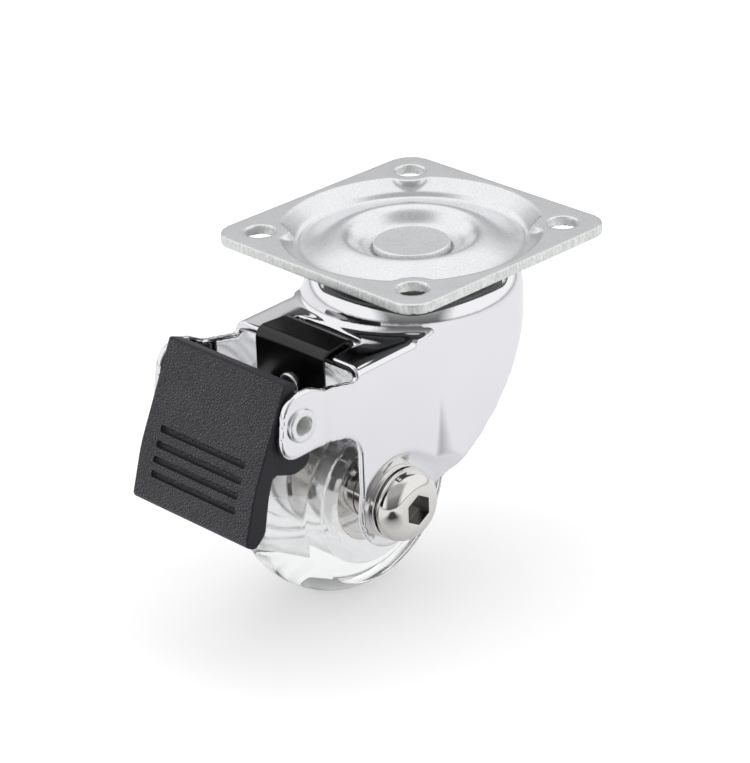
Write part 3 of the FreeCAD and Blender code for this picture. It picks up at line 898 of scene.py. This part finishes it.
def make_head(name, y_washer):
    """Domed head with its collar and hex socket, its height along Z."""
    low = y_washer + 1.2
    rim = low + 0.8 + 0.7
    top = low + 0.8 + 4.4
    corners = [(0, low, 0), (6.7, low, 0), (6.7, low + 0.8, 0), (8.0, low + 0.8, 0)]
    middle = (8.0 * 0.845, rim + (top - rim) * 0.66)
    corners += [(r, h, 0) for r, h in arc((8.0, rim), middle, (4.2, top), 24)]
    corners.append((0, top, 0))
    return turned(name, corners, 128)


def make_axle_ends():
    """Screw with its socket on the near side and sleeve nut on the far side."""
    made = []
    for name, flip in (("screw", False), ("sleeve", True)):
        piece = on_axle(make_head(name, boss_y), flip)
        side = -1 if flip else 1
        face = side * (boss_y + 1.2 + 0.8 + 4.4)
        nothing_selected()
        bpy.ops.mesh.primitive_cylinder_add(
            vertices=6,
            radius=6.0 / math.sqrt(3) * MM,
            depth=6 * MM,
            location=(axle_x * MM, face * MM, axle_z * MM),
            rotation=(math.radians(90), 0, 0),
        )
        piece = cut(piece, named("hexagon"))
        shank = (1.0, boss_y + 1.3) if not flip else (-boss_y - 1.3, boss_y)
        piece = add(piece, rod("shank", 3.0 if not flip else 4.0, *shank, steps=64))
        if flip:
            piece = cut(piece, rod("thread", 3.03, -2.0, 30, steps=64))
        made.append(crisp(eased(piece, 0.12, 3, 40)))
    return made


def make_tyre():
    crown_r = 15.9
    corners = []
    steps = 32
    edge = math.asin(wheel_half / crown_r)
    for index in range(steps + 1):
        turn = -edge + 2 * edge * index / steps
        r = wheel_r - crown_r + crown_r * math.cos(turn)
        ends = index in (0, steps)
        corners.append((r, crown_r * math.sin(turn), 0.9 if ends else 0))
    corners += [(tyre_inner_r, wheel_half, 0.2), (tyre_inner_r, -wheel_half, 0.2)]
    tyre = on_axle(turned("tyre", corners, 256))
    return crisp(tyre, 40)


def make_core():
    half = wheel_half
    corners = [
        (9.6, -3.6, 0.1),
        (11.0, -3.6, 0.1),
        (11.0, -half, 0.4),
        (12.8, -half, 0.5),
        (13.4, 1.6 - half, 0.5),
        (15.0, 1.6 - half, 0.5),
        (15.4, -half, 0.1),
        (tyre_inner_r + 0.03, -half, 0.1),
    ]
    corners += [(r, -y, rounding) for r, y, rounding in reversed(corners)]
    core = on_axle(turned("core", corners, 256))
    return crisp(core, 40)


def make_tube():
    """Hinge tube whose rolled ends hold the two ears."""
    end = ear_y + 0.9
    half = [(2.4, 0, 0), (2.4, ear_y, 0), (3.6, ear_y, 0), (3.6, end, 0.6), (1.9, end, 0.5)]
    corners = half + [(r, -y, rounding) for r, y, rounding in reversed(half[1:])]
    return crisp(on_axle(turned("hinge_tube", corners, 128), at=(pivot_x, pivot_z)), 40)


def on_flanks(half):
    """Test for the edges round the two flat sides of a piece."""
    return lambda middle, along: abs(abs(middle.y) - half) < 1e-3 and abs(along.y) < 1e-3


def make_pedal():
    """Moulded pedal: plate, hub, lobes, cam and grip grooves."""
    side = [
        (50.4, -12.9, 0.5),
        (53.6, -11.7, 0.6),
        (63.3, -33.0, 30.0),
        (66.3, -43.4, 1.2),
        (63.6, -45.2, 1.6),
        (60.6, -42.5, 3.0),
        (59.2, -34.3, 30.0),
    ]
    pedal = side_prism("pedal", side, -pedal_half, pedal_half, 16)
    pedal = bevel_edges(pedal, on_flanks(pedal_half), 0.45, 4)
    at = (pivot_x, pivot_z)
    pedal = add(pedal, rod("hub", 4.4, -pedal_half + 0.05, pedal_half - 0.05, at))
    lobe = [
        (pivot_x - 3.2, pivot_z + 3.5, 2.5),
        (pivot_x + 1.9, pivot_z + 3.5, 0),
        (pivot_x + 9.2, pivot_z - 12.2, 0),
        (pivot_x + 4.6, pivot_z - 10.6, 0),
        (pivot_x, pivot_z - 12.2, 3.0),
        (pivot_x - 4.6, pivot_z - 11.3, 3.0),
        (pivot_x - 4.6, pivot_z - 4.0, 3.0),
    ]
    near_lobe = bevel_edges(side_prism("lobe", lobe, 12.0, 16.9), on_flanks(16.9), 0.7, 4)
    pedal = add(pedal, far_copy(near_lobe, "far_lobe"), near_lobe)
    noses = [
        (pivot_x - 1.0, pivot_z + 3.5, 0),
        (37.7, -23.9, 2.0),
        (37.7, -28.0, 2.0),
        (pivot_x - 4.6, pivot_z - 10.4, 2.0),
        (pivot_x + 6.9, pivot_z - 10.4, 0),
    ]
    cam = bevel_edges(side_prism("cam", noses, -8, 8), on_flanks(8), 0.4, 3)
    cam = cut(cam, block("gap", (36.7, -3.6, -50), (43.3, 3.6, 0)))
    pedal = add(pedal, cam)
    for index in range(4):
        z = -28.5 - 3.0 * index
        slope = 0.455 if z > -33.0 else 0.288
        x = 63.2 + (-33.0 - z) * slope
        groove = rod("grip", 0.75, -12.75, 12.75, (x, z), 32)
        pedal = cut(pedal, bevel_edges(groove, lambda m, a: abs(m.y) > 12.7, 0.6, 4))
    return crisp(cut(pedal, rod("pin_bore", 2.45, -30, 30, at)), 40)


def make_band():
    """Bent spring band with its hook in the deck's slot."""
    face, back, top, fall, thick = 36.5, 26.4, -13.2, 0.3, 0.75
    corners = [
        (face, -26.0, 0),
        (face, top - fall, 2.6),
        (back, top, 2.6),
        (back, -18.2, 0),
        (back + thick, -18.2, 0),
        (back + thick, top - thick, 1.85),
        (face - thick, top - fall - thick, 1.85),
        (face - thick, -26.0, 0),
    ]
    band = side_prism("band", corners, -10.1, 10.1, 16)
    plan = [(back - 1, 8.9, 0), (back - 1, -8.9, 0), (33.9, -10.1, 0), (38, -10.1, 0)]
    plan += [(38, 10.1, 0), (33.9, 10.1, 0)]
    band = keep(band, plan_prism("taper", plan, -30, 0))
    band = cut(band, along_x("rivet_hole", 1.5, 34, 38))
    return crisp(eased(band, 0.2, 3, 40))


def along_x(name, radius, low, high, z=-23.5, steps=48):
    nothing_selected()
    bpy.ops.mesh.primitive_cylinder_add(
        vertices=steps,
        radius=radius * MM,
        depth=(high - low) * MM,
        location=((low + high) / 2 * MM, 0, z * MM),
        rotation=(0, math.radians(90), 0),
    )
    return named(name)


def make_rivet():
    head = bevel_edges(
        along_x("rivet", 2.7, 36.5, 37.4), lambda m, a: m.x > 37.39 and abs(a.x) < 0.01, 0.6, 6
    )
    head = add(head, along_x("rivet_pin", 1.5, 33.0, 36.6))
    return crisp(cut(head, along_x("rivet_bore", 0.9, 35.6, 39)))


def make_pad():
    pad = block("pad", (32.6, -6, -28.7), (35.7, 6, -21))
    pad = cut(pad, rod("tread", wheel_r + 0.6, -20, 20, steps=256))
    pad = cut(pad, along_x("pad_hole", 1.5, 33.0, 40))
    return crisp(eased(pad, 0.25, 3, 40))


def make_washers():
    made = []
    for side, name in ((1, "near_washer"), (-1, "far_washer")):
        low, high = sorted((side * boss_y, side * (boss_y + 1.2)))
        washer = rod(name, 8.2, low, high, steps=128)
        washer = bevel_edges(washer, lambda m, a: abs(a.y) < 0.01, 0.3, 4)
        made.append(crisp(cut(washer, rod("washer_hole", 4.03, -30, 30))))
    return made


def make_balls(name, count, ring_r, radius, z):
    """Ring of balls; one is modelled and the others are copies of it."""
    nothing_selected()
    bpy.ops.mesh.primitive_uv_sphere_add(
        segments=32, ring_count=20, radius=radius * MM, location=(ring_r * MM, 0, z * MM)
    )
    balls = [named(name)]
    for index in range(1, count):
        alone(balls[0])
        bpy.ops.object.duplicate()
        copy = bpy.context.object
        copy.matrix_world = Matrix.Rotation(2 * math.pi * index / count, 4, "Z")
        balls.append(named("ball"))
    nothing_selected()
    for ball in balls:
        ball.select_set(True)
    bpy.context.view_layer.objects.active = balls[0]
    bpy.ops.object.join()
    bpy.ops.object.shade_smooth()
    return balls[0]


# Stage


def make_stage(settings):
    scene = bpy.context.scene
    scene.view_settings.view_transform = "Standard"
    floor_z = -74.6 * MM
    nothing_selected()
    bpy.ops.mesh.primitive_circle_add(
        vertices=128, radius=1.6, fill_type="NGON", location=(0, 0, floor_z)
    )
    floor = named("floor")
    f = Finish("floor_paint")
    seen, glossy, through = (
        f.node("ShaderNodeLightPath", out=kind)
        for kind in ("Is Camera Ray", "Is Glossy Ray", "Is Transmission Ray")
    )
    bare = f.node("ShaderNodeBsdfDiffuse", inputs={"Color": (0.82, 0.82, 0.83, 1)})
    white = f.node("ShaderNodeEmission", inputs={"Color": (1, 1, 1, 1), "Strength": 0.35})
    lit = f.node("ShaderNodeAddShader", inputs={0: bare, 1: white})
    lit_share = seen.maths("MAXIMUM", seen, glossy * 0.3)
    paint = f.node("ShaderNodeMixShader", inputs={0: lit_share, 1: bare, 2: lit})
    beneath = f.node("ShaderNodeEmission", inputs={"Color": (1, 1, 1, 1), "Strength": 0.96})
    paint = f.node("ShaderNodeMixShader", inputs={0: through, 1: paint, 2: beneath})

    # Painted reflection: a dark card in the reflections alone, painted on the floor towards the camera
    x, y = f.axis(f.place, 0), f.axis(f.place, 1)
    ahead = (x + y) * math.sqrt(0.5)
    aside = ahead.maths("ABSOLUTE", (y - x) * math.sqrt(0.5))
    ends = f.ramp(ahead / 0.3, (0.16, 0.0), (0.30, 1.0), (0.75, 1.0), (1.0, 0.0))
    sides = f.ramp(aside / 0.05, (0.45, 1.0), (1.0, 0.0))
    dark = f.node("ShaderNodeBsdfDiffuse", inputs={"Color": (0.01, 0.01, 0.01, 1)})
    card = ends * sides * glossy * settings.card
    f.node(
        "ShaderNodeOutputMaterial",
        inputs={"Surface": f.node("ShaderNodeMixShader", inputs={0: card, 1: paint, 2: dark})},
    )
    floor.data.materials.append(f.material)

    world = bpy.data.worlds.new("studio")
    scene.world = world
    world.use_nodes = True
    sky = Graph(world.node_tree)
    towards = sky.node("ShaderNodeTexCoord", out="Generated")
    x, y, height = (sky.axis(towards, index) for index in range(3))
    ahead = (x + y) * math.sqrt(0.5)
    aside = ahead.maths("ABSOLUTE", (y - x) * math.sqrt(0.5))
    dome = sky.ramp(height, (0.0, 0.3), (0.3, 0.48), (0.46, 0.64), (0.62, 1.0))
    dome = dome * sky.ramp(ahead, (0.1, 1.0), (0.35, 0.45))
    sides = sky.ramp(aside, (0.35, 0.0), (0.65, 1.0)) * sky.ramp(height, (0.0, 0.5), (0.1, 1.0))
    glow = dome.maths("MAXIMUM", dome, sides)
    colour = (1, 1, 1, 1)
    even = sky.node(
        "ShaderNodeBackground", inputs={"Color": colour, "Strength": glow * settings.sky}
    )
    white = sky.node("ShaderNodeBackground", inputs={"Color": colour, "Strength": 1.0})
    seen = sky.node("ShaderNodeLightPath", out="Is Camera Ray")
    mixed = sky.node("ShaderNodeMixShader", inputs={0: seen, 1: even, 2: white})
    sky.node("ShaderNodeOutputWorld", inputs={"Surface": mixed})

    def lamp(name, place, aim, size, power):
        data = bpy.data.lights.new(name, "AREA")
        data.shape = "RECTANGLE"
        data.size, data.size_y = size
        data.energy = power
        lamp_object = bpy.data.objects.new(name, data)
        scene.collection.objects.link(lamp_object)
        lamp_object.visible_glossy = False
        lamp_object.location = place
        lamp_object.rotation_euler = (Vector(aim) - Vector(place)).to_track_quat("-Z", "Y").to_euler()

    middle = (0.01, 0, -0.03)
    lamp("top_softbox", (-0.15, -0.1, 0.55), middle, (0.5, 0.5), settings.key)
    lamp("side_softbox", (0.1, 0.6, 0.25), middle, (0.4, 0.3), settings.key * 0.5)
    lamp("front_softbox", (0.6, -0.05, 0.2), middle, (0.3, 0.4), settings.key * 0.35)


def make_camera():
    """Camera fitted to the photograph's corners and holes."""
    azimuth, elevation, roll = (math.radians(angle) for angle in (135.972, 25.716, -2.033))
    distance, shift_x, shift_y = 645.82, -7.625, -32.491
    focal_px, long_side_px = 3073.34, 763
    back = Vector((
        math.sin(azimuth) * math.cos(elevation),
        -math.cos(azimuth) * math.cos(elevation),
        math.sin(elevation),
    ))
    right = Vector((0, 0, 1)).cross(back).normalized()
    up = back.cross(right)
    turned_right = right * math.cos(roll) + up * math.sin(roll)
    turned_up = up * math.cos(roll) - right * math.sin(roll)
    place = back * distance + turned_right * shift_x + turned_up * shift_y
    data = bpy.data.cameras.new("camera")
    data.sensor_width = 36.0
    data.lens = 36.0 * focal_px / long_side_px
    camera = bpy.data.objects.new("camera", data)
    bpy.context.scene.collection.objects.link(camera)
    axes = Matrix((turned_right, turned_up, back)).transposed().to_4x4()
    camera.matrix_world = Matrix.Translation(place * MM) @ axes
    bpy.context.scene.camera = camera


# Add-on


class CastorColours(bpy.types.PropertyGroup):
    chrome: FloatVectorProperty(
        name="Chrome", description="Colour of the fork's plating", subtype="COLOR",
        default=(0.90, 0.90, 0.93), min=0, max=1,
    )
    zinc: FloatVectorProperty(
        name="Zinc", description="Colour of the plate's plating", subtype="COLOR",
        default=(0.90, 0.91, 0.93), min=0, max=1,
    )
    steel: FloatVectorProperty(
        name="Steel", description="Colour of the axle screw", subtype="COLOR",
        default=(0.84, 0.82, 0.79), min=0, max=1,
    )
    edge: FloatVectorProperty(
        name="Cut edge", description="Colour of the plate's sheared edge", subtype="COLOR",
        default=(0.72, 0.74, 0.72), min=0, max=1,
    )
    clear: FloatVectorProperty(
        name="Clear", description="Tint of the wheel", subtype="COLOR",
        default=(0.97, 0.975, 0.98), min=0, max=1,
    )
    pedal: FloatVectorProperty(
        name="Pedal", description="Colour of the pedal", subtype="COLOR",
        default=(0.011, 0.011, 0.013), min=0, max=1,
    )
    pedal_shaded_side: FloatVectorProperty(
        name="Pedal sides", description="Colour of the pedal's smooth sides", subtype="COLOR",
        default=(0.017, 0.017, 0.022), min=0, max=1,
    )
    band: FloatVectorProperty(
        name="Band", description="Colour of the spring band", subtype="COLOR",
        default=(0.003, 0.003, 0.0035), min=0, max=1,
    )
    grain_mm: FloatProperty(
        name="Grain", description="Size of the pedal's leather grain in millimetres",
        default=0.62, min=0.1,
    )


class CastorStage(bpy.types.PropertyGroup):
    sky: FloatProperty(name="Sky", description="Strength of the studio's even light", default=1.0)
    card: FloatProperty(name="Card", description="Darkness of the card in reflections", default=0.95)
    key: FloatProperty(
        name="Key", description="Power of the main softbox", subtype="POWER", default=0.6
    )


class CASTOR_OT_finishes(bpy.types.Operator):
    """Mix the finishes"""

    bl_idname = "castor.finishes"
    bl_label = "Mix the finishes"

    def execute(self, context):
        mix_finishes(context.scene.castor_colours)
        return {"FINISHED"}


class CASTOR_OT_plate(bpy.types.Operator):
    """Make the top plate with its dish"""

    bl_idname = "castor.plate"
    bl_label = "Top plate"

    def execute(self, context):
        plate = make_plate()
        settle(plate, finishes["zinc_plate"], "zinc_plate", "mount_body", "top_plate")
        touch_up(plate, finishes["sheared_edge"], lambda m, n: abs(n.z) < 0.5 and m.xy.length > 28)
        # Painted shade on the dish's faces round the kingpin, under the edge of its head
        pin_gap_shade_mask = lambda m, n: m.xy.length < 8.9 and n.z > 0
        touch_up(plate, finishes["painted_gap_shade"], pin_gap_shade_mask)
        # Painted shade on the faces that look down, under the plate
        touch_up(plate, finishes["painted_underside_shade"], lambda m, n: n.z < -0.5)
        return {"FINISHED"}


class CASTOR_OT_swivel(bpy.types.Operator):
    """Make the kingpin and the swivel's balls and dress the lower cup"""

    bl_idname = "castor.swivel"
    bl_label = "Kingpin and balls"

    def execute(self, context):
        pin = make_kingpin()
        settle(pin, finishes["zinc_pin"], "zinc_pin", "mount_body", "kingpin")
        touch_up(pin, finishes["sheared_edge"], lambda m, n: abs(n.z) < 0.6 and m.z > -5)
        upper = make_balls("upper_balls", 20, 15.0, 2.2, -5.43)
        settle(upper, finishes["ball_steel"], "ball_steel", "race_balls", "upper_race_balls")
        lower = make_balls("lower_balls", 12, 9.6, 2.2, -11.93)
        settle(lower, finishes["ball_steel"], "ball_steel", "race_balls", "lower_race_balls")
        dress(finishes["zinc_plate"], "lower_race_cup")
        return {"FINISHED"}


class CASTOR_OT_fork(bpy.types.Operator):
    """Make the pressed fork"""

    bl_idname = "castor.fork"
    bl_label = "Fork"

    def execute(self, context):
        settle(make_fork(), finishes["chrome"], "chrome", "fork_body", "fork")
        return {"FINISHED"}


class CASTOR_OT_axle(bpy.types.Operator):
    """Make the axle screw, its sleeve nut and washers and dress the spacers"""

    bl_idname = "castor.axle"
    bl_label = "Axle"

    def execute(self, context):
        steel = finishes["polished_steel"]

        # Hex socket, darker; neck between head and washer, painted shade
        def in_socket_or_neck(middle, normal):
            away = from_line(middle, axle_x, axle_z)
            neck = 6.6 < away < 6.75 and abs(normal.y) < 0.5
            return abs(middle.y) > boss_y and (away < 3.5 or neck)

        for piece, node in zip(make_axle_ends(), ("axle_screw", "sleeve_nut")):
            settle(piece, steel, "polished_steel", "fork_body", node)
            touch_up(piece, finishes["darkened_steel"], in_socket_or_neck)
        for piece, node in zip(make_washers(), ("axle_washer_near", "axle_washer_far")):
            settle(piece, steel, "polished_steel", "fork_body", node)
        dress(steel, "axle_spacer_near", "axle_spacer_far", "bearing_spacer")
        return {"FINISHED"}


class CASTOR_OT_wheel(bpy.types.Operator):
    """Make the clear tyre and core and dress the bearings"""

    bl_idname = "castor.wheel"
    bl_label = "Wheel"

    def execute(self, context):
        settle(make_tyre(), finishes["clear_tyre"], "clear_tyre", "wheel", "wheel_tyre")
        settle(make_core(), finishes["clear_core"], "clear_core", "wheel", "wheel_core")
        for side in ("near", "far"):
            rings = [f"bearing_{kind}_{side}" for kind in ("inner_ring", "outer_ring", "shields")]
            dress(finishes["polished_steel"], *rings)
            dress(finishes["ball_steel"], f"bearing_balls_{side}")
        return {"FINISHED"}


class CASTOR_OT_brake(bpy.types.Operator):
    """Make the pedal, its hinge tube, the band, the pad and the rivet"""

    bl_idname = "castor.brake"
    bl_label = "Brake"

    def execute(self, context):
        tube = make_tube()
        settle(tube, finishes["zinc_pin"], "zinc_pin", "fork_body", "pivot_tube")
        # Painted light inside the bore: its faces get a pale, dull finish so that it looks lit
        in_bore = lambda m, n: from_line(m, pivot_x, pivot_z) < 1.95
        touch_up(tube, finishes["painted_bore_light"], in_bore)
        pedal = make_pedal()
        settle(pedal, finishes["black_plastic"], "black_plastic", "pedal", "brake_pedal")
        # Faces that turn away from the front: smooth finish, its darker tone painted shade
        touch_up(pedal, finishes["smooth_shaded_plastic"], lambda m, n: n.x < 0.8)
        settle(make_band(), finishes["black_steel"], "black_steel", "brake_shoe", "brake_spring")
        settle(make_pad(), finishes["black_rubber"], "black_rubber", "brake_shoe", "brake_pad")
        settle(make_rivet(), finishes["zinc_pin"], "zinc_pin", "brake_shoe", "pad_rivet")
        return {"FINISHED"}


class CASTOR_OT_stage(bpy.types.Operator):
    """Make the floor, the lamps and the camera"""

    bl_idname = "castor.stage"
    bl_label = "Stage"

    def execute(self, context):
        make_stage(context.scene.castor_stage)
        make_camera()
        return {"FINISHED"}


steps_in_order = (
    CASTOR_OT_finishes,
    CASTOR_OT_plate,
    CASTOR_OT_swivel,
    CASTOR_OT_fork,
    CASTOR_OT_axle,
    CASTOR_OT_wheel,
    CASTOR_OT_brake,
    CASTOR_OT_stage,
)


class CASTOR_PT_panel(bpy.types.Panel):
    """Sidebar panel with the castor's steps"""

    bl_idname = "CASTOR_PT_panel"
    bl_label = "Braked castor"
    bl_space_type = "VIEW_3D"
    bl_region_type = "UI"
    bl_category = "Castor"

    def draw(self, context):
        layout = self.layout
        for group in (context.scene.castor_colours, context.scene.castor_stage):
            for key in group.bl_rna.properties.keys():
                if key not in ("name", "rna_type"):
                    layout.prop(group, key)
        for step in steps_in_order:
            layout.operator(step.bl_idname)


classes = (CastorColours, CastorStage, *steps_in_order, CASTOR_PT_panel)


def register():
    for cls in classes:
        bpy.utils.register_class(cls)
    bpy.types.Scene.castor_colours = PointerProperty(type=CastorColours)
    bpy.types.Scene.castor_stage = PointerProperty(type=CastorStage)


def unregister():
    del bpy.types.Scene.castor_stage
    del bpy.types.Scene.castor_colours
    for cls in reversed(classes):
        bpy.utils.unregister_class(cls)


def main():
    register()
    for step in steps_in_order:
        group, name = step.bl_idname.split(".")
        getattr(getattr(bpy.ops, group), name)()


if __name__ == "__main__":
    main()
